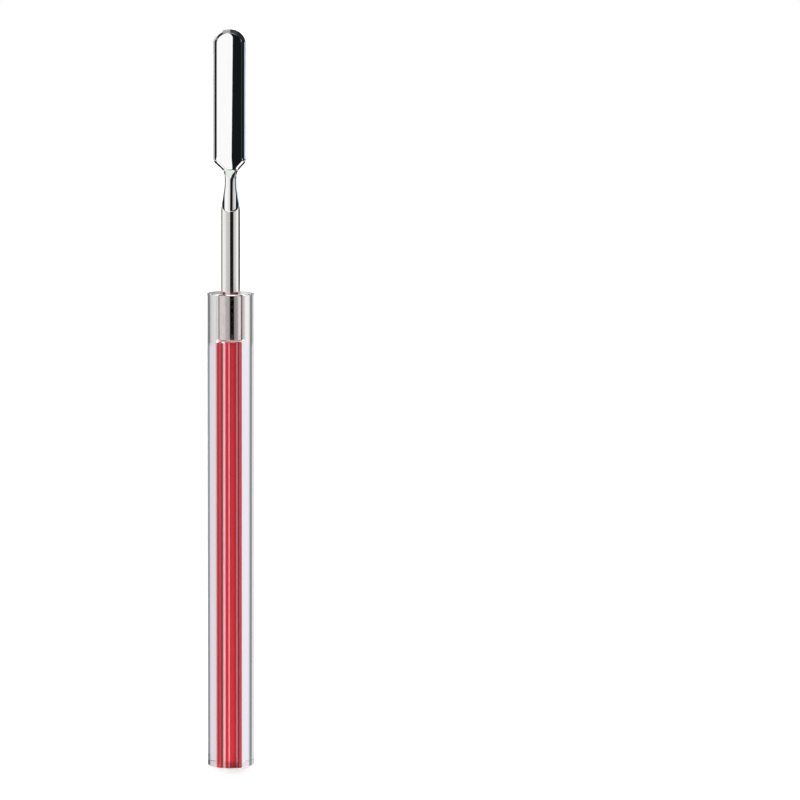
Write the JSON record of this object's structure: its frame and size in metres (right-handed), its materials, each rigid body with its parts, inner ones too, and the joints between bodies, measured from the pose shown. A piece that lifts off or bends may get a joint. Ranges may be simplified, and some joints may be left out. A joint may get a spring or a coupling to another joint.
{
  "type": "cuticle pusher",
  "caption": "Cuticle pusher with a rounded flat steel blade, a waisted neck and a round shank set in a clear acrylic rod handle with a red core.",
  "frame": {"origin": "centre of the handle's flat foot, on the surface that the tool stands on", "axes": "+Z runs along the tool from the handle's foot to the blade's tip; X is the blade's width; the blade's crowned front looks along -Y and its flat back along +Y"},
  "size_m": [0.008, 0.008, 0.126],
  "materials": {
    "polished_steel": "stainless steel, mirror polished on the blade and neck, finely polished on the shank",
    "clear_acrylic": "clear acrylic, polished outside, sawn and polished ends",
    "red_core": "bright red with paler and deeper streaks along its length",
    "cured_adhesive": "clear cured adhesive film"
  },
  "bodies": {
    "root": {"steel_pusher": "polished_steel", "clear_handle": "clear_acrylic", "red_core": "red_core", "adhesive": "cured_adhesive"}
  },
  "joints": []
}
